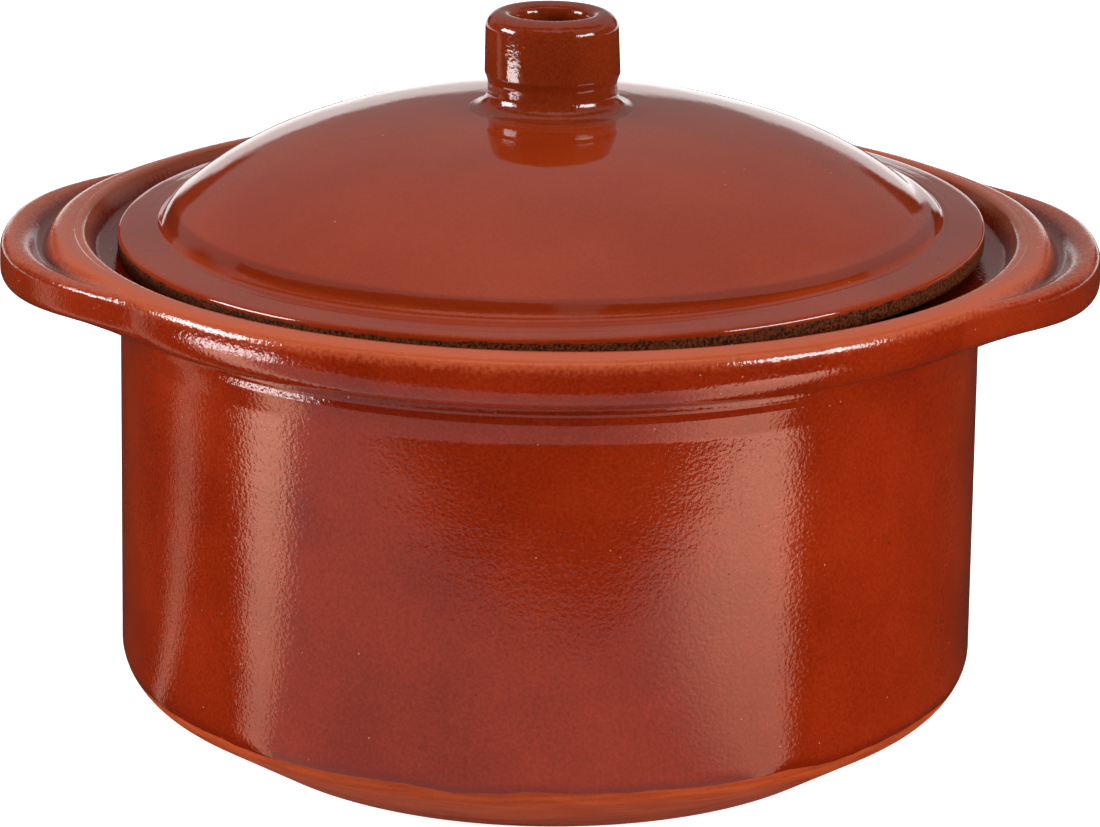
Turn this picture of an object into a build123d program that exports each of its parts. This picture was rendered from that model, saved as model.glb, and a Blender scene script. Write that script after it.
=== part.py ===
from build123d import *
import os
from math import sqrt

# Clay casserole pot with a loose lid. Millimetres, +Z up, origin on the table under the centre of
# the foot, the two ears along X. Every piece is turned about Z except the ears.

# Thrown body
pot_height = 143.8            # table to the top of the rim ridge
wall_radius = 120.5           # outside of the wall, just under the rim
wall_taper = 0.7              # how much slimmer the wall is above the heel
wall_thickness = 7.4
floor_thickness = 9.0
foot_radius = 90.0            # flat circle that stands on the table
foot_round = 2.5
heel_height = 18.4            # where the trimmed bevel of the heel would meet the wall
heel_round = 11.5
inner_heel_round = 32.0

# Rim: a ridge that overhangs the wall, with a stepped gallery inside it for the lid
rim_overhang = 16.0           # past the wall
rim_depth = 14.2              # top of the ridge to its underside
rim_round = 6.6               # under its outer edge
ridge_round = 4.6             # over its outer edge
neck_depth = 2.2              # how far the underside of the rim falls towards the wall
neck_round = 3.5
ridge_width = 7.7             # top of the ridge, outside to inside edge
ridge_edge_round = 1.8        # at its inner edge
gallery_depth = 7.4           # top of the ridge to the ledge
gallery_batter = 3.2          # how far the gallery's wall leans outwards
gallery_round = 3.0
ledge_edge_round = 1.6

# Ears
ear_reach = 15.2              # past the rim
ear_bow = 92.0                # radius of the ear's outer edge, seen from above
ear_blend = 90.0              # radius that runs the ear into the rim, seen from above
ear_thickness = 9.4
ear_edge_round = 3.8
ear_drop = 4.2                # top of the ridge to the top of the ear
ear_bury = 5.0                # how far the ends of the ear run into the rim

# Lid
lid_seat_gap = 0.3            # under the brim, between it and the ledge
lid_play = 6.0                # round the brim, between it and the gallery's wall
lid_edge_thickness = 6.2      # raw edge of the brim
lid_edge_round = 1.1
brim_width = 11.6
brim_rise = 1.4               # from the edge of the brim to the foot of the dome
brim_blend = 4.5
dome_rise = 32.8              # foot of the dome to its crown
lid_thickness = 7.0
lid_bearing_width = 15.0      # flat ring under the brim

# Knob, measured from the crown of the dome
knob_height = 26.2
knob_radius = 18.7            # widest, at its lower edge
knob_taper = 0.5              # how much slimmer it is at the top
knob_top_round = 4.3
knob_bore_radius = 10.4
knob_lip_round = 3.0
knob_edge_round = 0.9
knob_skirt = 9.4              # crown to the knob's lower edge
knob_waist_cut = 1.0          # depth of the groove under that edge
knob_waist_height = 2.0
knob_waist_round = 1.6
knob_foot_radius = 22.6       # where the flared foot runs out on the dome
knob_foot_height = 4.4
knob_foot_round = 6.0

# Shape of the dome: height share at a radius share, fuller than a sphere and steep at its foot
dome_fullness = 2.72
dome_shoulder = 0.80
dome_radius_shares = (0.12, 0.28, 0.44, 0.58, 0.70, 0.80, 0.88, 0.94, 0.98)

# Worked out from the sizes above
rim_radius = wall_radius + rim_overhang
bore_radius = wall_radius - wall_thickness
rim_underside = pot_height - rim_depth
ledge_height = pot_height - gallery_depth
gallery_radius = rim_radius - ridge_width - gallery_batter

lid_radius = gallery_radius - lid_play
brim_underside = ledge_height + lid_seat_gap
brim_top = brim_underside + lid_edge_thickness
dome_foot_radius = lid_radius - brim_width
dome_foot_height = brim_top + brim_rise
crown_height = dome_foot_height + dome_rise
hollow_radius = lid_radius - lid_bearing_width
hollow_rise = crown_height - lid_thickness - brim_underside

knob_top = crown_height + knob_height
knob_edge_height = crown_height + knob_skirt
knob_waist_radius = knob_radius - knob_waist_cut


def section(corners):
    """Half section from its corners, each (radius, height, rounding)."""
    points = [(radius, height) for radius, height, rounding in corners]
    roundings = [rounding for radius, height, rounding in corners]
    return make_face(FilletPolyline(*points, radius=roundings, close=True))


def turned(half_section):
    return revolve(Plane.XZ * half_section, Axis.Z)


def dome_height(radius, foot_radius, rise):
    """Height of a dome above its foot."""
    return rise * (1 - (radius / foot_radius) ** dome_fullness) ** dome_shoulder


def dome_section(foot_radius, foot_height, rise):
    """Half section of a dome on a flat base."""
    radii = [foot_radius * share for share in dome_radius_shares]
    crown = (0, foot_height + rise)
    foot = (foot_radius, foot_height)
    slope = [(radius, foot_height + dome_height(radius, foot_radius, rise)) for radius in radii]
    curve = Spline(crown, *slope, foot)
    return make_face([*curve.edges(), *Polyline(foot, (0, foot_height), crown).edges()])


def pot_outside():
    """Corners of the pot's outside, from the axis at the table to the top of the ridge."""
    return [
        (0, 0, 0),
        (foot_radius, 0, foot_round),
        (wall_radius - wall_taper, heel_height, heel_round),
        (wall_radius, rim_underside - neck_depth, neck_round),
        (rim_radius, rim_underside, rim_round),
        (rim_radius, pot_height, ridge_round),
    ]


def make_pot_body():
    return turned(section(pot_outside() + [
        (rim_radius - ridge_width, pot_height, ridge_edge_round),
        (gallery_radius, ledge_height, gallery_round),
        (bore_radius, ledge_height, ledge_edge_round),
        (bore_radius, floor_thickness, inner_heel_round),
        (0, floor_thickness, 0),
    ]))


def ear_plan():
    """Outline of the right ear from above: a bow that two hollow curves run into the rim, closed
    by a chord. The curves end inside the clay of the rim."""
    root_radius = rim_radius - ear_bury
    bow_centre = rim_radius + ear_reach - ear_bow
    blend_reach = root_radius + ear_blend
    blend_x = (blend_reach**2 + bow_centre**2 - (ear_bow + ear_blend) ** 2) / (2 * bow_centre)
    blend_centre = Vector(blend_x, sqrt(blend_reach**2 - blend_x**2))
    root = blend_centre.normalized() * root_radius
    shoulder_way = (blend_centre - Vector(bow_centre, 0)).normalized()
    shoulder = Vector(bow_centre, 0) + shoulder_way * ear_bow
    hollow_middle = blend_centre + ((root + shoulder) * 0.5 - blend_centre).normalized() * ear_blend
    low_root, low_shoulder, low_middle = [
        Vector(point.X, -point.Y) for point in (root, shoulder, hollow_middle)]
    tip = (bow_centre + ear_bow, 0)
    return make_face([
        ThreePointArc(root, hollow_middle, shoulder),
        ThreePointArc(shoulder, tip, low_shoulder),
        ThreePointArc(low_shoulder, low_middle, low_root),
        Line(low_root, root),
    ])


def make_ear():
    """Right ear: a slab with rounded edges, cut to the outside of the rim."""
    slab = Pos(0, 0, pot_height - ear_drop) * extrude(ear_plan(), -ear_thickness)
    slab = fillet(slab.edges().filter_by(GeomType.CIRCLE), ear_edge_round)
    return slab - turned(section(pot_outside() + [(0, pot_height, 0)]))


def make_lid_dome():
    """Flat brim with a raw edge and a low dome, hollow underneath."""
    outside = section([
        (0, brim_underside, 0),
        (lid_radius, brim_underside, lid_edge_round),
        (lid_radius, brim_top, lid_edge_round),
        (dome_foot_radius, dome_foot_height, 0),
        (0, dome_foot_height, 0),
    ]) + dome_section(dome_foot_radius, dome_foot_height, dome_rise)
    dome_foot = outside.vertices().sort_by_distance((dome_foot_radius, dome_foot_height))[0]
    outside = fillet(dome_foot, brim_blend)
    return turned(outside - dome_section(hollow_radius, brim_underside, hollow_rise))


def make_lid_knob():
    """Thrown ring, open at the top, with a groove under its lower edge. Its flared foot is cut to
    the outside of the dome."""
    foot_height = dome_foot_height + dome_height(knob_foot_radius, dome_foot_radius, dome_rise)
    ring = section([
        (knob_bore_radius, dome_foot_height, 0),
        (knob_foot_radius, dome_foot_height, 0),
        (knob_foot_radius, foot_height, 0),
        (knob_waist_radius, crown_height + knob_foot_height, knob_foot_round),
        (knob_waist_radius, knob_edge_height - knob_waist_height, knob_waist_round),
        (knob_radius, knob_edge_height, knob_edge_round),
        (knob_radius - knob_taper, knob_top, knob_top_round),
        (knob_bore_radius, knob_top, knob_lip_round),
    ])
    return turned(ring) - turned(dome_section(dome_foot_radius, dome_foot_height, dome_rise))


right_ear = make_ear()
nodes = {
    "pot_body": make_pot_body(),
    "left_handle": right_ear.mirror(Plane.YZ),
    "right_handle": right_ear,
    "lid_dome": make_lid_dome(),
    "lid_knob": make_lid_knob(),
}

os.makedirs("parts", exist_ok=True)
for name, shape in nodes.items():
    export_step(shape, os.path.join("parts", name + ".step"))
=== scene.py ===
from math import atan2, ceil, cos, exp, hypot, log, pi, radians, sin, tan, tau

import bmesh
import bpy
from mathutils import Matrix, Vector, noise


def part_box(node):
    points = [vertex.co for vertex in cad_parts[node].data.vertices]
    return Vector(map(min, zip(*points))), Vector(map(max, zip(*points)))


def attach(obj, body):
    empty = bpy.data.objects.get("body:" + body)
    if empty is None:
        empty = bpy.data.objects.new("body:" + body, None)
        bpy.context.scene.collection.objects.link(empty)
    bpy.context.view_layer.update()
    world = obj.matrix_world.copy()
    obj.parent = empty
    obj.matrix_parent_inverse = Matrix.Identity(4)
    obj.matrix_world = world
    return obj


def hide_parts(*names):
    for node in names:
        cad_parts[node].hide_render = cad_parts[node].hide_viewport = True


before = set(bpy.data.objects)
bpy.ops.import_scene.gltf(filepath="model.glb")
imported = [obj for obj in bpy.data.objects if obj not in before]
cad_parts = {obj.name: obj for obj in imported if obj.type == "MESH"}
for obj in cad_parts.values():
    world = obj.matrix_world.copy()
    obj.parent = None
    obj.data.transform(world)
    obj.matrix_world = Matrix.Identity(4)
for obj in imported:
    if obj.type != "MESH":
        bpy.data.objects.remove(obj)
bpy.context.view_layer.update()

# Thrown body. Red clay turned on a wheel in one piece: foot, wall, and a heavy rim whose ridge
# overhangs the wall. Inside the ridge a stepped gallery carries the lid. A clear honey glaze
# covers it down to the trimmed bevel of the heel, which stays bare clay.
mm = 0.001
pot_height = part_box("pot_body")[1].z
rim_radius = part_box("pot_body")[1].x
wall_radius = rim_radius - 16.0 * mm
wall_foot_radius = wall_radius - 0.7 * mm
foot_radius = 90.0 * mm
heel_height = 18.4 * mm
rim_underside = pot_height - 14.2 * mm
neck_height = rim_underside - 2.2 * mm
groove_height = neck_height - 4.0 * mm
groove_depth = 0.28 * mm
groove_half_width = 0.8 * mm
groove_slope = 1.9 * mm
groove_rounds = (1.0 * mm, 0.4 * mm, 0.3 * mm)    # below, in and above the groove
flare = 1.3 * mm                # how far the wall swells out under the groove
flare_height = 7.5 * mm
flare_round = 5.0 * mm
foot_round = 2.5 * mm
heel_round = 11.5 * mm
neck_round = 2.6 * mm
underside_round = 7.0 * mm
rim_lean = 1.0 * mm             # how far the rim's outer face leans in at its top
ridge_round = 4.6 * mm
ridge_edge_round = 1.8 * mm
ridge_inner_radius = rim_radius - 7.7 * mm
gallery_radius = ridge_inner_radius - 3.2 * mm
gallery_round = 3.0 * mm
ledge_height = pot_height - 7.4 * mm
ledge_edge_round = 1.6 * mm
bore_radius = wall_radius - 7.4 * mm
bowl_start = ledge_height - 8.0 * mm
floor_height = 9.0 * mm
inner_heel_round = 32.0 * mm
pot_wobble = 0.35 * mm          # push of the potter's hand
pot_wobble_span = 70 * mm
turns = 384                     # steps round the wheel
outside_grain = 1.6 * mm        # length of the mesh's edges along the section
bowl_grain = 5.0 * mm


def wire(bm, corners, grain):
    """Draws a half section in the plane Y = 0 through corners, each (radius, height, rounding).
    Roundings become arcs, and long runs are divided to edges of about grain."""
    places = [Vector((radius, 0, height)) for radius, height, rounding in corners]
    points = [bm.verts.new(place) for place in places]
    edges = [bm.edges.new(pair) for pair in zip(points, points[1:])]
    for i in range(1, len(corners) - 1):
        rounding = corners[i][2]
        if rounding:
            turn = (places[i] - places[i - 1]).angle(places[i + 1] - places[i])
            bmesh.ops.bevel(
                bm, geom=[points[i]], offset=rounding * tan(turn / 2), offset_type="OFFSET",
                segments=max(3, ceil(rounding * turn / grain)), profile=0.5,
                affect="VERTICES", material=-1)
    for edge in [edge for edge in edges if edge.is_valid]:
        cuts = ceil(edge.calc_length() / grain) - 1
        if cuts > 0:
            bmesh.ops.subdivide_edges(bm, edges=[edge], cuts=cuts)


def turn_on_wheel(bm):
    """Spins the wires about the upright axis into a closed skin that faces outwards."""
    same_place = 0.01 * mm
    bmesh.ops.remove_doubles(bm, verts=bm.verts[:], dist=same_place)
    bmesh.ops.spin(
        bm, geom=bm.verts[:] + bm.edges[:], cent=(0, 0, 0), axis=(0, 0, 1), dvec=(0, 0, 0),
        angle=tau, steps=turns, use_merge=True, use_duplicate=False)
    bmesh.ops.remove_doubles(bm, verts=bm.verts[:], dist=same_place)
    bmesh.ops.recalc_face_normals(bm, faces=bm.faces[:])


def hand_wobble(place, amount, span):
    """How far hand work pushes a point out from the axis."""
    flat = Vector((place.x, place.y, 0))
    return flat.normalized() * amount * noise.noise(place / span)


def make_piece(name, bm, material):
    """Makes the finished, smooth-shaded object of a mesh."""
    mesh = bpy.data.meshes.new(name)
    bm.to_mesh(mesh)
    bm.free()
    mesh.shade_smooth()
    mesh.materials.append(material)
    piece = bpy.data.objects.new(name, mesh)
    bpy.context.scene.collection.objects.link(piece)
    return piece


def start_material(name):
    """Starts a material. Returns it and its nodes."""
    material = bpy.data.materials.new(name)
    material.use_nodes = True
    return material, material.node_tree


def add(tree, kind, values=None, **settings):
    """Adds a shader node. Its inputs take numbers, colours or other nodes' outputs."""
    made = tree.nodes.new("ShaderNode" + kind)
    for name, setting in settings.items():
        setattr(made, name, setting)
    for name, value in (values or {}).items():
        if isinstance(value, bpy.types.NodeSocket):
            tree.links.new(value, made.inputs[name])
        else:
            made.inputs[name].default_value = value
    return made


def reckon(tree, operation, *values):
    """Works out a number from others."""
    return add(tree, "Math", dict(enumerate(values)), operation=operation).outputs[0]


def soft_step(tree, value, low, high):
    """Rises smoothly from 0 at low to 1 at high."""
    return add(
        tree, "MapRange", {"Value": value, "From Min": low, "From Max": high},
        interpolation_type="SMOOTHSTEP").outputs["Result"]


def slide(tree, value, low, high, at_low, at_high):
    """Goes in a straight line from one number to another."""
    return add(tree, "MapRange", {
        "Value": value, "From Min": low, "From Max": high, "To Min": at_low, "To Max": at_high,
    }).outputs["Result"]


def mix(tree, share, low, high):
    """Mixes two colours."""
    return add(tree, "Mix", {0: share, 6: low, 7: high}, data_type="RGBA").outputs[2]


def mix_values(tree, share, low, high):
    """Mixes two numbers."""
    return add(tree, "Mix", {0: share, 2: low, 3: high}).outputs[0]


def grain(tree, vector, size, detail=2.0):
    """Noise with grains of a size in metres, from 0 to 1."""
    return add(
        tree, "TexNoise", {"Vector": vector, "Scale": 1 / size, "Detail": detail}).outputs[0]


def uneven(tree, vector, size, low, high):
    """Noise with grains of a size in metres, stretched so that it runs from low to high."""
    return slide(tree, grain(tree, vector, size, 3.0), 0.3, 0.7, low, high)


def dots(tree, vector, spacing, radius, share):
    """Scattered dots with soft edges: one in the middle of some of the cells."""
    cells = add(tree, "TexVoronoi", {"Vector": vector, "Scale": 1 / spacing})
    outer, inner = 1.3 * radius / spacing, 0.7 * radius / spacing
    dot = soft_step(tree, cells.outputs["Distance"], outer, inner)
    lot = add(tree, "SeparateColor", {0: cells.outputs["Color"]}).outputs[0]
    return reckon(tree, "MULTIPLY", dot, reckon(tree, "LESS_THAN", lot, share))


def object_place(tree):
    """The place of a point on the pot, in the pot's own frame."""
    return add(tree, "TexCoord").outputs["Object"]


def distance_from_axis(tree, place):
    flat = add(tree, "VectorMath", {0: place, 1: (1, 1, 0)}, operation="MULTIPLY").outputs[0]
    return add(tree, "VectorMath", {0: flat}, operation="LENGTH").outputs["Value"]


def new_group(name, inputs, outputs):
    """Starts a shader node group. Returns it, what comes in and what goes out."""
    tree = bpy.data.node_groups.new(name, "ShaderNodeTree")
    for side, sockets in (("INPUT", inputs), ("OUTPUT", outputs)):
        for label, kind in sockets.items():
            tree.interface.new_socket(label, in_out=side, socket_type="NodeSocket" + kind)
    return tree, tree.nodes.new("NodeGroupInput").outputs, tree.nodes.new("NodeGroupOutput").inputs


# The glaze is thicker in some places, which makes it darker. It has the fine pebbled skin of a
# glaze on coarse clay, with a few pinholes and pale specks. Height is in shares of skin_relief.
cloud_size = 34 * mm            # clouds of thicker and thinner glaze
mottle_size = 0.8 * mm
pebble_size = 1.05 * mm
swell_size = 12 * mm
swell_rise = 4.0
pinhole_spacing = 3.6 * mm
pinhole_radius = 0.24 * mm
pinhole_depth = 3.0
pinhole_colour = (0.05, 0.012, 0.006, 1)
speck_spacing = 2.7 * mm
speck_radius = 0.2 * mm
speck_rise = 1.5
speck_colour = (0.62, 0.27, 0.15, 1)
glaze_skin, given, put_out = new_group(
    "glaze_skin",
    {"Vector": "Vector", "Thick Colour": "Color", "Thin Colour": "Color", "Wear And Sheen Colour": "Color",
     "Thinness": "Float", "Wear And Sheen": "Float", "Pebbles": "Float", "Pinholes": "Float",
     "Specks": "Float"},
    {"Colour": "Color", "Height": "Float"})
place = given["Vector"]
tone = reckon(
    glaze_skin, "ADD", given["Thinness"], uneven(glaze_skin, place, cloud_size, 0.1, 0.7))
tone = reckon(glaze_skin, "ADD", tone, uneven(glaze_skin, place, mottle_size, -0.3, 0.3))
tone = slide(glaze_skin, tone, 0, 1, 0, 1)
pinholes = dots(glaze_skin, place, pinhole_spacing, pinhole_radius, given["Pinholes"])
specks = dots(glaze_skin, place, speck_spacing, speck_radius, given["Specks"])
skin_colour = mix(glaze_skin, tone, given["Thick Colour"], given["Thin Colour"])
# The paler worn colour stands both for glaze worn thin and for a painted sheen where the light
# catches it.
skin_colour = mix(glaze_skin, given["Wear And Sheen"], skin_colour, given["Wear And Sheen Colour"])
skin_colour = mix(
    glaze_skin, reckon(glaze_skin, "MULTIPLY", specks, 0.75), skin_colour, speck_colour)
skin_colour = mix(
    glaze_skin, reckon(glaze_skin, "MULTIPLY", pinholes, 0.8), skin_colour, pinhole_colour)
pebbles = reckon(
    glaze_skin, "MULTIPLY", grain(glaze_skin, place, pebble_size, 2.0), given["Pebbles"])
swells = reckon(glaze_skin, "MULTIPLY", grain(glaze_skin, place, swell_size, 1.0), swell_rise)
skin_height = reckon(glaze_skin, "ADD", pebbles, swells)
skin_height = reckon(
    glaze_skin, "SUBTRACT", skin_height, reckon(glaze_skin, "MULTIPLY", pinholes, pinhole_depth))
skin_height = reckon(
    glaze_skin, "ADD", skin_height, reckon(glaze_skin, "MULTIPLY", specks, speck_rise))
glaze_skin.links.new(skin_colour, put_out["Colour"])
glaze_skin.links.new(skin_height, put_out["Height"])

# Bare fired clay: gritty, with level streaks that the turning tool left.
streak_size = 1.6 * mm
streak_stretch = (0.1, 0.1, 1.0)
grit_size = 0.55 * mm
grit_rise = 6.0
bare_clay, given, put_out = new_group(
    "bare_clay",
    {"Vector": "Vector", "Dark Colour": "Color", "Pale Colour": "Color", "Grit": "Float"},
    {"Colour": "Color", "Height": "Float"})
streak_place = add(
    bare_clay, "Mapping", {"Vector": given["Vector"], "Scale": streak_stretch}).outputs[0]
streaks = grain(bare_clay, streak_place, streak_size, 4.0)
grit = grain(bare_clay, given["Vector"], grit_size, 3.0)
clay_tone = mix_values(bare_clay, given["Grit"], streaks, grit)
clay_colour = mix(
    bare_clay, soft_step(bare_clay, clay_tone, 0.34, 0.66), given["Dark Colour"],
    given["Pale Colour"])
clay_height = reckon(bare_clay, "ADD", reckon(bare_clay, "MULTIPLY", grit, grit_rise), streaks)
bare_clay.links.new(clay_colour, put_out["Colour"])
bare_clay.links.new(clay_height, put_out["Height"])

skin_relief = 0.02 * mm         # one unit of height in the two groups above
glaze_roughness = 0.07
glaze_mirror = 0.5              # specular level
clay_roughness = 0.75
clay_mirror = 0.12


def turning_rings(tree, along, spacing, strength):
    """Rings that the potter's fingers leave, counted along the radius or the height."""
    place = add(tree, "CombineXYZ", {"X": along}).outputs[0]
    return reckon(tree, "MULTIPLY", grain(tree, place, spacing, 1.0), strength)


def finish_glaze(tree, skin, rings, clay, bare, roughness):
    """Sends the glaze, or the bare clay where bare is 1, to the material's shader."""
    shader = tree.nodes["Principled BSDF"]
    colour, height = skin.outputs
    if rings:
        height = reckon(tree, "ADD", height, rings)
    if clay:
        colour = mix(tree, bare, colour, clay.outputs["Colour"])
        height = mix_values(tree, bare, height, clay.outputs["Height"])
        gloss = mix_values(tree, bare, roughness, clay_roughness)
        tree.links.new(gloss, shader.inputs["Roughness"])
        mirror = mix_values(tree, bare, glaze_mirror, clay_mirror)
        tree.links.new(mirror, shader.inputs["Specular IOR Level"])
    else:
        shader.inputs["Roughness"].default_value = roughness
    bump = add(tree, "Bump", {"Strength": 1.0, "Distance": skin_relief, "Height": height})
    tree.links.new(colour, shader.inputs["Base Color"])
    tree.links.new(bump.outputs["Normal"], shader.inputs["Normal"])


# On the body the glaze ends in a thick, ragged roll above the heel. The crest of the ridge is
# paler: glaze worn thin there, and a painted sheen of the light it catches. The bowl inside is
# glazed all over.
glaze_border = 20.5 * mm
border_wander = 1.0 * mm
border_softness = 0.3 * mm
roll_width = 3.5 * mm
crest_start = pot_height - 5.0 * mm
crest_full = pot_height - 1.6 * mm
crest_wander = 0.8 * mm
heel_slope = heel_height / (wall_foot_radius - foot_radius)
body_glaze, tree = start_material("honey_glaze_on_the_pot")
place = object_place(tree)
height_up = add(tree, "SeparateXYZ", {0: place}).outputs["Z"]
from_axis = distance_from_axis(tree, place)
inside = soft_step(tree, from_axis, bore_radius + 1.5 * mm, bore_radius + 0.5 * mm)
over_heel = reckon(tree, "SUBTRACT", height_up, reckon(
    tree, "MULTIPLY", heel_slope, reckon(
        tree, "MAXIMUM", 0, reckon(tree, "SUBTRACT", from_axis, foot_radius))))
in_bowl = reckon(tree, "MULTIPLY", inside, soft_step(tree, over_heel, 4.0 * mm, 5.0 * mm))
ragged = reckon(
    tree, "ADD", height_up, uneven(tree, place, 28 * mm, -border_wander, border_wander))
ragged = reckon(tree, "ADD", ragged, reckon(tree, "MULTIPLY", in_bowl, 2 * glaze_border))
bare = soft_step(tree, ragged, glaze_border + border_softness, glaze_border - border_softness)
thick_roll = soft_step(tree, ragged, glaze_border + roll_width, glaze_border)
# Paler crest: partly glaze worn thin, partly a painted sheen.
worn_and_sheen_crest = soft_step(
    tree,
    reckon(tree, "ADD", height_up, uneven(tree, place, 1.1 * mm, -crest_wander, crest_wander)),
    crest_start, crest_full)
skin = add(tree, "Group", {
    "Vector": place, "Thick Colour": (0.172, 0.0095, 0.0008, 1),
    "Thin Colour": (0.295, 0.023, 0.003, 1), "Wear And Sheen Colour": (0.44, 0.085, 0.030, 1),
    "Thinness": reckon(tree, "MULTIPLY", thick_roll, -0.6),
    "Wear And Sheen": reckon(tree, "MULTIPLY", worn_and_sheen_crest, 0.8), "Pebbles": 4.6, "Pinholes": 0.35,
    "Specks": 0.07}, node_tree=glaze_skin)
clay = add(tree, "Group", {
    "Vector": place, "Dark Colour": (0.32, 0.036, 0.004, 1), "Pale Colour": (0.47, 0.07, 0.012, 1),
    "Grit": 0.35}, node_tree=bare_clay)
rings = turning_rings(
    tree, reckon(tree, "ADD", height_up, reckon(tree, "MULTIPLY", from_axis, 0.3)), 7 * mm,
    mix_values(tree, inside, 4.0, 24.0))
finish_glaze(tree, skin, rings, clay, bare, glaze_roughness)

body_mesh = bmesh.new()
wire(body_mesh, [
    (0, 0, 0),
    (foot_radius, 0, foot_round),
    (wall_foot_radius, heel_height, heel_round),
    (wall_radius - flare, groove_height - flare_height, flare_round),
    (wall_radius, groove_height - groove_slope, groove_rounds[0]),
    (wall_radius - groove_depth, groove_height, groove_rounds[1]),
    (wall_radius, groove_height + groove_half_width, groove_rounds[2]),
    (wall_radius, neck_height, neck_round),
    (rim_radius, rim_underside, underside_round),
    (rim_radius - rim_lean, pot_height, ridge_round),
    (ridge_inner_radius, pot_height, ridge_edge_round),
    (gallery_radius, ledge_height, gallery_round),
    (bore_radius, ledge_height, ledge_edge_round),
    (bore_radius, bowl_start, 0),
], outside_grain)
wire(body_mesh, [
    (bore_radius, bowl_start, 0),
    (bore_radius, floor_height, inner_heel_round),
    (0, floor_height, 0),
], bowl_grain)
turn_on_wheel(body_mesh)
for vert in body_mesh.verts:
    vert.co += hand_wobble(vert.co, pot_wobble, pot_wobble_span)
pot_body = make_piece("thrown_body", body_mesh, body_glaze)
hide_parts("pot_body")
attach(pot_body, "pot")

# Ears. Two pads of clay pressed onto the outside of the rim and drawn out into grips. Each swells
# out of the rim's outer face, with a shallow valley between it and the ridge.
ear_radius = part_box("right_handle")[1].x
ear_half_angle = radians(38.0)
ear_fullness = 1.4
right_ear_drop = 0.4 * mm
ear_grain = 0.5 * mm
skin_sink = 0.03 * mm           # where the ear runs out, it lies this far inside the rim
core_radius = rim_radius - 5.0 * mm
core_inset = 3.0 * mm
skin_start = (rim_radius - ridge_round - rim_lean, pot_height, 0)
skin_end = (wall_radius + 6.0 * mm, neck_height + 0.82 * mm, 0)
rim_skin = [
    skin_start,
    (rim_radius - rim_lean, pot_height, ridge_round),
    (rim_radius, rim_underside, underside_round),
    skin_end,
]
ear_skin = [
    skin_start,
    (rim_radius + 0.8 * mm, pot_height, 4.0 * mm),                      # over the ridge
    (rim_radius + 3.8 * mm, pot_height - 7.4 * mm, 2.0 * mm),           # bottom of the valley
    (rim_radius + 8.4 * mm, pot_height - 2.6 * mm, 5.0 * mm),           # top of the grip
    (ear_radius + 0.2 * mm, pot_height - 1.2 * mm, 3.6 * mm),           # its outer edge
    (ear_radius + 0.5 * mm, rim_underside - 0.6 * mm, 4.0 * mm),        # its lower edge
    skin_end,
]

ear_glaze, tree = start_material("honey_glaze_on_the_ears")
place = object_place(tree)
height_up = add(tree, "SeparateXYZ", {0: place}).outputs["Z"]
# The tops of the ears turn paler: glaze worn thin there, and a painted sheen.
worn_and_sheen_top = slide(
    tree,
    reckon(tree, "ADD", height_up, uneven(tree, place, 1.1 * mm, -crest_wander, crest_wander)),
    pot_height - 4.4 * mm, pot_height - 1.8 * mm, 0, 0.8)
drawn_out = add(tree, "Attribute", attribute_name="drawn_out").outputs["Fac"]
# Where an ear is drawn out furthest its glaze is painted darker: painted shade on the ear.
skin = add(tree, "Group", {
    "Vector": place, "Thick Colour": mix(
        tree, drawn_out, (0.20, 0.013, 0.0018, 1), (0.145, 0.0115, 0.0016, 1)),
    "Thin Colour": mix(tree, drawn_out, (0.285, 0.024, 0.004, 1), (0.225, 0.021, 0.004, 1)),
    "Wear And Sheen Colour": (0.44, 0.085, 0.033, 1),
    "Thinness": 0.0, "Wear And Sheen": worn_and_sheen_top, "Pebbles": 4.2, "Pinholes": 0.35, "Specks": 0.25},
    node_tree=glaze_skin)
finish_glaze(tree, skin, None, None, None, glaze_roughness)


def walk(bm):
    """Points of an open wire in order, from the one nearest to the ridge."""
    ends = [vert for vert in bm.verts if len(vert.link_edges) == 1]
    here = max(ends, key=lambda vert: vert.co.z)
    path = [here]
    seen = {here}
    while here:
        onward = [edge.other_vert(here) for edge in here.link_edges]
        here = next((vert for vert in onward if vert not in seen), None)
        if here:
            path.append(here)
            seen.add(here)
    return path


def point_along(places, share):
    """The point at a share of the way along a line of points."""
    steps = [(b - a).length for a, b in zip(places, places[1:])]
    way = share * sum(steps)
    for start, end, step in zip(places, places[1:], steps):
        if way <= step:
            return start.lerp(end, way / step)
        way -= step
    return places[-1]


def swell(angle):
    """How much of the ear there is at an angle from its middle, from 1 down to 0."""
    share = min(1, abs(angle) / ear_half_angle)
    return 0.5 + 0.5 * cos(pi * share**ear_fullness)


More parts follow.
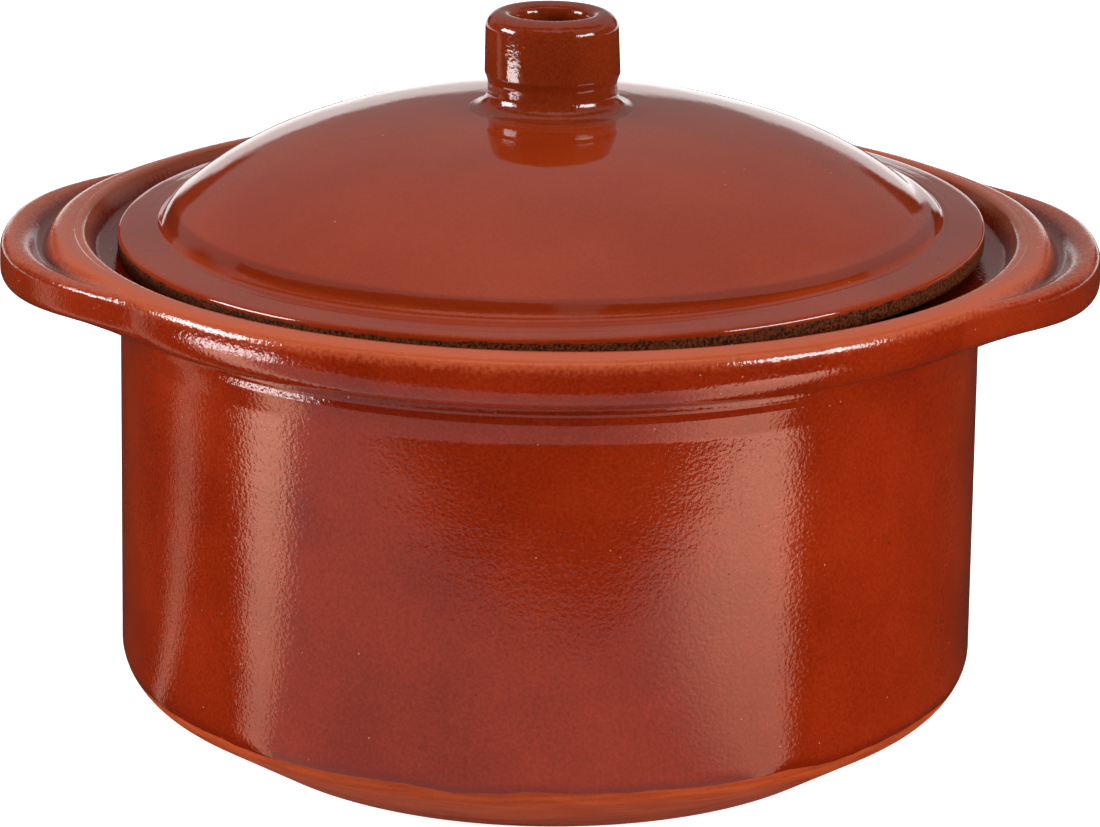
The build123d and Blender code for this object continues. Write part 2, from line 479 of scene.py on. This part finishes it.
def make_ear(name, side, drop):
    """Draws the skin of the rim out to the skin of the ear, most in the middle. Side is 1 for the
    right ear and -1 for the left one; drop is how low it hangs."""
    pattern = bmesh.new()
    wire(pattern, ear_skin, ear_grain)
    target = [vert.co.copy() for vert in walk(pattern)]
    pattern.free()
    bm = bmesh.new()
    wire(bm, rim_skin, outside_grain)
    for edge in bm.edges[:]:
        bmesh.ops.subdivide_edges(bm, edges=[edge], cuts=3)
    outward = bm.verts.layers.float.new("outward")
    upward = bm.verts.layers.float.new("upward")
    drawn_out = bm.verts.layers.float.new("drawn_out")
    path = walk(bm)
    for i, vert in enumerate(path):
        shift = point_along(target, i / (len(path) - 1)) - vert.co
        vert[outward] = shift.x
        vert[upward] = shift.z - drop * sin(pi * i / (len(path) - 1))
    core = [bm.verts.new((core_radius, 0, height)) for height in (
        pot_height - core_inset, rim_underside + core_inset)]
    for pair in ((path[0], core[0]), (core[0], core[1]), (core[1], path[-1])):
        bm.edges.new(pair)
    steps = round(2 * ear_half_angle / tau * turns)
    half_back = Matrix.Rotation(-steps / 2 / turns * tau, 3, "Z")
    bmesh.ops.rotate(bm, verts=bm.verts[:], cent=(0, 0, 0), matrix=half_back)
    bmesh.ops.spin(
        bm, geom=bm.verts[:] + bm.edges[:], cent=(0, 0, 0), axis=(0, 0, 1), dvec=(0, 0, 0),
        angle=steps / turns * tau, steps=steps, use_merge=False, use_duplicate=False)
    bmesh.ops.holes_fill(bm, edges=bm.edges[:], sides=0)
    middle = (pot_height + rim_underside) / 2
    for vert in bm.verts:
        angle = atan2(vert.co.y, vert.co.x)
        share = vert[drawn_out] = swell(angle)
        out = Vector((cos(angle), sin(angle), 0))
        sunk = skin_sink * (1 - min(1, share * hypot(vert[outward], vert[upward]) / mm))
        vert.co += out * (vert[outward] * share - sunk)
        vert.co.z += vert[upward] * share - sunk * (1 if vert.co.z > middle else -1)
        vert.co += hand_wobble(vert.co, pot_wobble, pot_wobble_span)
    if side < 0:
        half_turn = Matrix.Rotation(pi, 3, "Z")
        bmesh.ops.rotate(bm, verts=bm.verts[:], cent=(0, 0, 0), matrix=half_turn)
    bmesh.ops.recalc_face_normals(bm, faces=bm.faces[:])
    return make_piece(name, bm, ear_glaze)


for name, node, side, drop in (
        ("left_ear", "left_handle", -1, 0),
        ("right_ear", "right_handle", 1, right_ear_drop)):
    ear = make_ear(name, side, drop)
    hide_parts(node)
    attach(ear, "pot")

# Lid. Thrown upside down as a shallow bowl: a low dome that runs out on a flat brim. It warped a
# little in the kiln, so the right side of the brim stands higher. The glaze stops halfway down
# the brim's edge and the rest is raw, gritty clay.
lid_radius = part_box("lid_dome")[1].x
crown_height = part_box("lid_dome")[1].z
brim_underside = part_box("lid_dome")[0].z
brim_top = brim_underside + 6.2 * mm
brim_edge_round = 1.1 * mm
brim_rise = 1.4 * mm            # from the edge of the brim to the foot of the dome
dome_foot_radius = lid_radius - 11.6 * mm
dome_foot_height = brim_top + brim_rise
dome_rise = crown_height - dome_foot_height
dome_fullness = 2.72
dome_steepness = 0.8
dome_soften = 0.5 * mm          # hollow curve at the foot of the dome
dome_run_out = 1.6              # slope at which the dome goes on down inside the brim
shoulder_width = 3.5 * mm       # extra clay over the shoulder of the dome
shoulder_radius = dome_foot_radius - shoulder_width
shoulder_fill = 0.25 * mm
hollow_radius = lid_radius - 15.0 * mm
hollow_rise = crown_height - 7.0 * mm - brim_underside
warp_lift = 2.0 * mm            # of the brim, in the middle
warp_right = 1.9 * mm           # more on the right, less on the left
warp_back = 0.7 * mm
warp_start, warp_full = 0.84, 0.92      # shares of the lid's radius
dent_depth = 0.12 * mm
dent_size = 24 * mm
lid_wobble = 0.3 * mm
lid_wobble_span = 60 * mm


def dome_height(radius, foot_radius, rise):
    """Height of a dome above its foot: fuller than a sphere, and steep at the foot."""
    return rise * max(0, 1 - (radius / foot_radius) ** dome_fullness) ** dome_steepness


def lid_top(radius):
    """Height of the lid's top, where the dome runs out on the brim in a short hollow curve."""
    past = max(0, radius - dome_foot_radius)
    brim = dome_foot_height - past / (lid_radius - dome_foot_radius) * brim_rise
    above = dome_height(radius, dome_foot_radius, dome_rise) - past * dome_run_out
    above += shoulder_fill * exp(-((radius - shoulder_radius) / shoulder_width) ** 2)
    return brim + dome_soften * log(1 + exp(above / dome_soften))


def smooth_step(low, high, value):
    share = min(1, max(0, (value - low) / (high - low)))
    return share * share * (3 - 2 * share)


def curve(bm, radii, height_at):
    """Draws a half section through the points of a formula."""
    points = [bm.verts.new((radius, 0, height_at(radius))) for radius in radii]
    for pair in zip(points, points[1:]):
        bm.edges.new(pair)


# On the lid the glaze is smooth. It has run down the dome and pooled round its foot, and it is
# painted darker there as well, as painted shade in the hollow at the dome's foot. It stops in a
# ragged line on the edge of the brim; the raw clay below is painted darker, as painted shade of
# the gap between lid and rim.
lid_roughness = 0.045
edge_border = (5.0 * mm, 4.5 * mm)      # up the edge: glazed, bare
edge_wander = 0.5 * mm
shaded_pool_inner = (dome_foot_radius - 4.6 * mm, dome_foot_radius - 3.4 * mm)
shaded_pool_outer = (dome_foot_radius - 0.4 * mm, dome_foot_radius - 1.6 * mm)
brim_rings_start = (lid_radius - 13.0 * mm, lid_radius - 9.5 * mm)
lid_glaze, tree = start_material("honey_glaze_on_the_lid")
place = object_place(tree)
up_the_edge = add(tree, "Attribute", attribute_name="up_the_edge").outputs["Fac"]
ragged = reckon(
    tree, "ADD", up_the_edge, uneven(tree, place, 5 * mm, -edge_wander, edge_wander))
bare = soft_step(tree, ragged, *edge_border)
from_axis = distance_from_axis(tree, place)
# Darker round the foot of the dome: pooled glaze, and painted shade in the hollow there.
shaded_pool = reckon(
    tree, "MULTIPLY", soft_step(tree, from_axis, *shaded_pool_inner),
    soft_step(tree, from_axis, *shaded_pool_outer))
skin = add(tree, "Group", {
    "Vector": place,
    "Thick Colour": mix(tree, shaded_pool, (0.21, 0.0195, 0.0026, 1), (0.155, 0.0135, 0.0015, 1)),
    "Thin Colour": mix(tree, shaded_pool, (0.27, 0.030, 0.005, 1), (0.185, 0.018, 0.0022, 1)),
    "Wear And Sheen Colour": (0.44, 0.085, 0.033, 1), "Thinness": 0.0, "Wear And Sheen": 0.0, "Pebbles": 0.8,
    "Pinholes": 0.04, "Specks": 0.02}, node_tree=glaze_skin)
coarse = add(tree, "VectorMath", {0: place, "Scale": 0.75}, operation="SCALE").outputs[0]
# The raw clay of the brim's edge is painted far darker than the same clay on the pot's foot:
# painted shade of the gap between lid and rim.
clay = add(tree, "Group", {
    "Vector": coarse, "Dark Colour": (0.012, 0.002, 0.0005, 1),
    "Pale Colour": (0.12, 0.027, 0.005, 1), "Grit": 1.0}, node_tree=bare_clay)
on_brim = soft_step(tree, from_axis, *brim_rings_start)
rings = turning_rings(tree, from_axis, 2.6 * mm, mix_values(tree, on_brim, 1.0, 9.0))
finish_glaze(tree, skin, rings, clay, bare, lid_roughness)

lid_mesh = bmesh.new()
up_layer = lid_mesh.verts.layers.float.new("up_the_edge")
brim_start = lid_radius - 3.0 * mm      # the formula ends here, and the rounded edge begins
coarse_reach = 96 * mm                  # steps on the dome, round its foot, and on the brim
coarse_count = 44
fine_reach = 112 * mm
fine_step = 0.4 * mm
brim_step = 0.9 * mm
inner_count = 36
radii = [coarse_reach * i / coarse_count for i in range(coarse_count + 1)]
while radii[-1] < brim_start:
    step = fine_step if radii[-1] < fine_reach else brim_step
    radii.append(min(brim_start, radii[-1] + step))
curve(lid_mesh, radii, lid_top)
wire(lid_mesh, [
    (brim_start, lid_top(brim_start), 0),
    (lid_radius, brim_top, brim_edge_round),
    (lid_radius, brim_underside, brim_edge_round),
    (hollow_radius, brim_underside, 0),
], 1.0 * mm)
curve(
    lid_mesh,
    [hollow_radius * sin(pi / 2 * i / inner_count) for i in range(inner_count + 1)],
    lambda radius: brim_underside + dome_height(radius, hollow_radius, hollow_rise))
turn_on_wheel(lid_mesh)
for vert in lid_mesh.verts:
    outside = Vector((vert.co.x, vert.co.y)).length > hollow_radius - 0.5 * mm
    vert[up_layer] = vert.co.z - brim_underside if outside else 1.0
    across = Vector((vert.co.x, vert.co.y)) / lid_radius
    lift = warp_lift + warp_right * across.x + warp_back * across.y
    vert.co.z += lift * smooth_step(warp_start, warp_full, across.length)
    vert.co.z += dent_depth * noise.noise(vert.co / dent_size)
    vert.co += hand_wobble(vert.co, lid_wobble, lid_wobble_span)
lid_dome = make_piece("lid", lid_mesh, lid_glaze)
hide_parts("lid_dome")
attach(lid_dome, "lid")

# Knob. A short thrown ring, open at the top, luted on the crown of the lid with a flared foot. A
# groove is turned under its lower edge, and it leans a little.
knob_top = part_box("lid_knob")[1].z
knob_top_round = 4.3 * mm
knob_bore_radius = 10.4 * mm
knob_lip_round = 3.0 * mm
knob_radius = 18.7 * mm         # at its lower edge
knob_taper = 0.5 * mm
knob_edge_height = crown_height + 9.4 * mm
knob_edge_round = 1.4 * mm
knob_waist_radius = knob_radius - 0.8 * mm
knob_waist_depth = 2.0 * mm     # lower edge to the bottom of the groove
knob_waist_round = 2.4 * mm
knob_flare_height = crown_height + 0.2 * mm
knob_flare_round = 5.2 * mm
knob_foot_radius = 23.6 * mm    # where the flared foot runs out on the dome
knob_sink = 0.05 * mm
knob_bed = crown_height - 3.5 * mm
knob_grain = 0.6 * mm
knob_lean = radians(1.0)
knob_wobble = 0.2 * mm
knob_wobble_span = 22 * mm
knob_roughness = 0.05

knob_glaze, tree = start_material("honey_glaze_on_the_knob")
place = object_place(tree)
skin = add(tree, "Group", {
    "Vector": place, "Thick Colour": (0.125, 0.012, 0.002, 1),
    "Thin Colour": (0.21, 0.024, 0.004, 1), "Wear And Sheen Colour": (0.44, 0.085, 0.033, 1),
    "Thinness": 0.0, "Wear And Sheen": 0.0, "Pebbles": 3.0, "Pinholes": 0.04, "Specks": 0.02},
    node_tree=glaze_skin)
height_up = add(tree, "SeparateXYZ", {0: place}).outputs["Z"]
rings = turning_rings(tree, height_up, 2.2 * mm, 3.0)
finish_glaze(tree, skin, rings, None, None, knob_roughness)

knob_mesh = bmesh.new()
wire(knob_mesh, [
    (knob_bore_radius, knob_bed, 0),
    (knob_bore_radius, knob_top, knob_lip_round),
    (knob_radius - knob_taper, knob_top, knob_top_round),
    (knob_radius, knob_edge_height, knob_edge_round),
    (knob_waist_radius, knob_edge_height - knob_waist_depth, knob_waist_round),
    (knob_waist_radius, knob_flare_height, knob_flare_round),
    (knob_foot_radius, lid_top(knob_foot_radius) - knob_sink, 0),
    (knob_foot_radius, knob_bed, 0),
    (knob_bore_radius, knob_bed, 0),
], knob_grain)
turn_on_wheel(knob_mesh)
for vert in knob_mesh.verts:
    vert.co.x -= tan(knob_lean) * (vert.co.z - crown_height)
    vert.co += hand_wobble(vert.co, knob_wobble, knob_wobble_span)
lid_knob = make_piece("knob", knob_mesh, knob_glaze)
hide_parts("lid_knob")
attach(lid_knob, "lid")

# Camera, at the photograph's place: a long lens that looks down at the lid, very slightly
# turned, because the photograph's horizon isn't quite level.
camera_distance = 1323.0 * mm
camera_elevation = radians(16.78)
camera_roll = radians(0.775)
camera_target = Vector((0.39 * mm, 0, 88.4 * mm))
photo_width = 1100
focal_pixels = 4718             # for a picture of that width
sensor_width = 36
level = Vector((1, 0, 0))
forward = Vector((0, cos(camera_elevation), -sin(camera_elevation)))
upward_view = Vector((0, sin(camera_elevation), cos(camera_elevation)))
camera_right = level * cos(camera_roll) + upward_view * sin(camera_roll)
camera_up = upward_view * cos(camera_roll) - level * sin(camera_roll)
camera_data = bpy.data.cameras.new("camera")
camera_data.sensor_width = sensor_width
camera_data.lens = focal_pixels / photo_width * sensor_width
camera = bpy.data.objects.new("camera", camera_data)
camera.matrix_world = Matrix.LocRotScale(
    camera_target - forward * camera_distance,
    Matrix((camera_right, camera_up, -forward)).transposed(), None)
bpy.context.scene.collection.objects.link(camera)
bpy.context.scene.camera = camera

# Studio, painted on the world so that the glaze mirrors it: a pale ceiling with a round panel in
# a dark frame, two softboxes beside the pot, dark gaps round them and dark cloth in front. Three
# lamps that the glaze doesn't show give the rest of the plain, soft light.
bpy.context.scene.view_settings.view_transform = "Standard"
soft_window, given, put_out = new_group(
    "soft_window",
    {"Azimuth": "Float", "Elevation": "Float", "Centre": "Float", "Half Width": "Float",
     "Bottom": "Float", "Top": "Float", "Edge": "Float"},
    {"Mask": "Float"})
off_centre = reckon(soft_window, "ABSOLUTE", reckon(
    soft_window, "WRAP", reckon(soft_window, "SUBTRACT", given["Azimuth"], given["Centre"]),
    -180.0, 180.0))
edge = given["Edge"]
across = soft_step(
    soft_window, off_centre, reckon(soft_window, "ADD", given["Half Width"], edge),
    reckon(soft_window, "SUBTRACT", given["Half Width"], edge))
above = soft_step(
    soft_window, given["Elevation"], reckon(soft_window, "SUBTRACT", given["Bottom"], edge),
    reckon(soft_window, "ADD", given["Bottom"], edge))
below = soft_step(
    soft_window, given["Elevation"], reckon(soft_window, "ADD", given["Top"], edge),
    reckon(soft_window, "SUBTRACT", given["Top"], edge))
soft_window.links.new(
    reckon(soft_window, "MULTIPLY", across, reckon(soft_window, "MULTIPLY", above, below)),
    put_out["Mask"])


def azimuth(tree, place, origin):
    """Degrees from the camera's side towards the right, as seen from an origin."""
    parts = add(tree, "SeparateXYZ", {0: place}).outputs
    turn = reckon(
        tree, "ARCTAN2", reckon(tree, "SUBTRACT", parts["X"], origin[0]),
        reckon(tree, "SUBTRACT", origin[1], parts["Y"]))
    return reckon(tree, "DEGREES", turn)


studio = bpy.data.worlds.new("studio")
bpy.context.scene.world = studio
studio.use_nodes = True
tree = studio.node_tree
towards = add(tree, "TexCoord").outputs["Generated"]
around = azimuth(tree, towards, (0.0, 0.0))
parts = add(tree, "SeparateXYZ", {0: towards}).outputs
upwards = reckon(tree, "DEGREES", reckon(tree, "ARCSINE", parts["Z"]))
steepness = reckon(tree, "MAXIMUM", parts["Z"], 0.05)
panel_x = reckon(tree, "DIVIDE", parts["X"], steepness)
panel_y = reckon(tree, "DIVIDE", parts["Y"], steepness)


def reach(panel_centre):
    """How far from a panel's centre a direction meets the ceiling, in heights of the ceiling."""
    across = reckon(tree, "SUBTRACT", panel_x, panel_centre[0])
    along = reckon(tree, "SUBTRACT", panel_y, panel_centre[1])
    return reckon(tree, "SQRT", reckon(
        tree, "ADD", reckon(tree, "MULTIPLY", across, across),
        reckon(tree, "MULTIPLY", along, along)))


def hang(light, centre, half_width, bottom, top, edge, strength):
    """Puts a panel of light, or of dark cloth, in front of the light that is there. Its place and
    soft edge are in degrees."""
    window = add(tree, "Group", {
        "Azimuth": around, "Elevation": upwards, "Centre": centre, "Half Width": half_width,
        "Bottom": bottom, "Top": top, "Edge": edge}, node_tree=soft_window)
    return mix_values(tree, window.outputs["Mask"], light, strength)


ceiling = slide(tree, upwards, 15.0, 80.0, 0.28, 0.66)
light = hang(ceiling, 0, 85, 50, 100, 3, 0.9)        # white panel overhead
frame_dark = 0.03
frame_outside = (1.53, 1.55)                         # radii of the frame, each a soft edge
frame_inside = (1.21, 1.24)
frame_front = (0.95, 0.75)                           # the frame shows only on the near side
bridge_middle = 0.08                                 # pale gap in the frame
bridge_half_width = (0.10, 0.06)
outer_edge = reach((-0.12, 1.02))
light = mix_values(tree, soft_step(tree, outer_edge, *frame_outside), ceiling, light)
in_frame = reckon(
    tree, "MULTIPLY", soft_step(tree, reach((-0.12, 1.10)), *frame_inside),
    soft_step(tree, outer_edge, *reversed(frame_outside)))
in_frame = reckon(tree, "MULTIPLY", in_frame, soft_step(tree, panel_y, *frame_front))
off_bridge = reckon(tree, "ABSOLUTE", reckon(tree, "SUBTRACT", panel_x, bridge_middle))
bridge = reckon(tree, "MULTIPLY", soft_step(tree, off_bridge, *bridge_half_width), 0.6)
in_frame = reckon(tree, "SUBTRACT", in_frame, reckon(tree, "MULTIPLY", in_frame, bridge))
light = mix_values(tree, in_frame, light, frame_dark)
# Each panel: centre and half width, bottom and top, soft edge, strength.
for panel in (
        (180, 190, -90, 4, 3, 0.02),     # dark near the floor
        (-105, 28, -90, 22, 4, 0.03),    # dark on the left
        (100, 28, -90, 20, 4, 0.02),     # dark on the right
        (-8, 55, -90, 48, 3, 0.01),      # dark cloth in front
        (-154, 11, -30, 11, 1, 0.02),    # dark corners at the back
        (156, 8, -30, 10.5, 1, 0.02),
        (180, 17, -30, 7, 1, 1.1),       # white wall between them
        (-85, 14, 9, 25, 1, 20.0),       # left softbox
        (63, 16, 9, 22, 1, 18.0)):       # right softbox
    light = hang(light, *panel)
tree.links.new(light, tree.nodes["Background"].inputs["Strength"])
tree.nodes["Background"].inputs["Color"].default_value = (1, 1, 1, 1)

for name, spot, size, watts in (
        ("overhead_lamp", (0, 0, 2.2), 2.5, 16),
        ("left_lamp", (-1.4, -0.9, 0.9), 1.0, 7),
        ("right_lamp", (1.3, -1.0, 0.9), 1.0, 8)):
    lamp_data = bpy.data.lights.new(name, "AREA")
    lamp_data.size = size
    lamp_data.energy = watts
    lamp = bpy.data.objects.new(name, lamp_data)
    lamp.location = spot
    lamp.rotation_euler = Vector(spot).to_track_quat("Z", "Y").to_euler()
    lamp.visible_glossy = False
    bpy.context.scene.collection.objects.link(lamp)

# White floor. Its own colour catches the pot's shadow. It glows only where the camera or the glaze
# sees it, which gives the photograph's white ground without lighting the pot.
floor_white, tree = start_material("white_floor")
shader = tree.nodes["Principled BSDF"]
shader.inputs["Base Color"].default_value = (0.8, 0.8, 0.8, 1)
shader.inputs["Roughness"].default_value = 1.0
shader.inputs["Emission Color"].default_value = (1, 1, 1, 1)
ray = add(tree, "LightPath").outputs
seen = reckon(tree, "MAXIMUM", ray["Is Camera Ray"], reckon(
    tree, "MAXIMUM", ray["Is Glossy Ray"], ray["Is Transmission Ray"]))
tree.links.new(reckon(tree, "MULTIPLY", seen, 0.8), shader.inputs["Emission Strength"])
floor_mesh = bmesh.new()
bmesh.ops.create_grid(floor_mesh, x_segments=1, y_segments=1, size=12.0)
floor = make_piece("floor", floor_mesh, floor_white)

# A sheet that only the glaze sees, which glows with the pot's reflections painted on it: a pale
# table in front as far as its front edge, bright painted reflections of the softboxes, dark beside
# and beyond.
left_start = (-83 * mm, -87 * mm)        # on the wall, where the left softbox's streak begins
right_start = (66.7 * mm, -100.4 * mm)
side_start = (-112 * mm, -30 * mm)
lit_from, lit_to = (-88.0, -86.5), (68.5, 67.0)         # degrees, each a soft edge
left_streak = (-67.5, -71.0)
right_streak = (0.0, 45.0)
side_streak = ((-114.0, -110.0), (-98.0, -102.0))
near, far = 0.15, 0.5                                   # metres from the pot's axis
front_edge = (-0.300, -0.272)
edge_corner, edge_slant = 0.06, 0.25                    # the front edge slants back both ways
sheen_end = (0.60, 0.50)
foot_near, foot_far = (0.61, 0.63), (1.05, 1.0)         # foot of the left softbox
foot_side = (-60.0, -66.0)
side_glow, foot_glow, plain_glow = 0.4, 14.0, 0.02
painted_reflection_sheet, tree = start_material("painted_reflection_sheet")
place = object_place(tree)
from_left = azimuth(tree, place, left_start)
from_right = azimuth(tree, place, right_start)
from_side = azimuth(tree, place, side_start)
parts = add(tree, "SeparateXYZ", {0: place}).outputs
away = add(tree, "VectorMath", {0: place}, operation="LENGTH").outputs["Value"]
lit = reckon(
    tree, "MULTIPLY", soft_step(tree, from_left, *lit_from), soft_step(tree, from_right, *lit_to))
off_corner = reckon(tree, "ABSOLUTE", reckon(tree, "SUBTRACT", parts["X"], edge_corner))
past_edge = reckon(tree, "ADD", parts["Y"], reckon(tree, "MULTIPLY", off_corner, edge_slant))
on_painted_table = soft_step(tree, past_edge, *front_edge)
sheen = reckon(
    tree, "MULTIPLY", slide(tree, away, near, far, 1.0, 2.8), soft_step(tree, away, *sheen_end))
left_share = soft_step(tree, from_left, *left_streak)
right_share = soft_step(tree, from_right, *right_streak)
glow = mix_values(tree, left_share, slide(tree, away, near, far, 0.55, 0.7), sheen)
glow = mix_values(tree, right_share, glow, sheen)
glow = reckon(tree, "MULTIPLY", glow, reckon(tree, "MULTIPLY", lit, on_painted_table))
beside = reckon(
    tree, "MULTIPLY", soft_step(tree, from_side, *side_streak[0]),
    soft_step(tree, from_side, *side_streak[1]))
glow = reckon(tree, "ADD", glow, reckon(tree, "MULTIPLY", beside, side_glow))
# Painted reflection of the foot of the left softbox.
softbox_foot = reckon(
    tree, "MULTIPLY", soft_step(tree, away, *foot_near), soft_step(tree, away, *foot_far))
softbox_foot = reckon(tree, "MULTIPLY", softbox_foot, reckon(
    tree, "MULTIPLY", soft_step(tree, from_left, *foot_side), lit))
glow = reckon(tree, "ADD", glow, reckon(tree, "MULTIPLY", softbox_foot, foot_glow))
glow = reckon(tree, "ADD", glow, plain_glow)
glow_colour = mix(tree, right_share, (1.15, 1, 1, 1), (2.4, 1.4, 1, 1))
glow_colour = mix(
    tree, reckon(tree, "MAXIMUM", left_share, beside), glow_colour, (2.3, 1.45, 1.05, 1))
glow_colour = mix(tree, softbox_foot, glow_colour, (1.1, 1, 1, 1))
emission = add(tree, "Emission", {"Color": glow_colour, "Strength": glow})
tree.links.new(emission.outputs[0], tree.nodes["Material Output"].inputs["Surface"])
reflection_sheet_half_size = (8.0, 4.6, 1.0)
reflection_sheet_middle = (0, -3.4, 0.2 * mm)
reflection_sheet_mesh = bmesh.new()
bmesh.ops.create_grid(reflection_sheet_mesh, x_segments=1, y_segments=1, size=1.0)
bmesh.ops.scale(reflection_sheet_mesh, vec=reflection_sheet_half_size, verts=reflection_sheet_mesh.verts[:])
bmesh.ops.translate(reflection_sheet_mesh, vec=reflection_sheet_middle, verts=reflection_sheet_mesh.verts[:])
reflection_sheet = make_piece("reflection_sheet", reflection_sheet_mesh, painted_reflection_sheet)
reflection_sheet.visible_camera = reflection_sheet.visible_diffuse = reflection_sheet.visible_shadow = False
reflection_sheet.visible_transmission = reflection_sheet.visible_volume_scatter = False
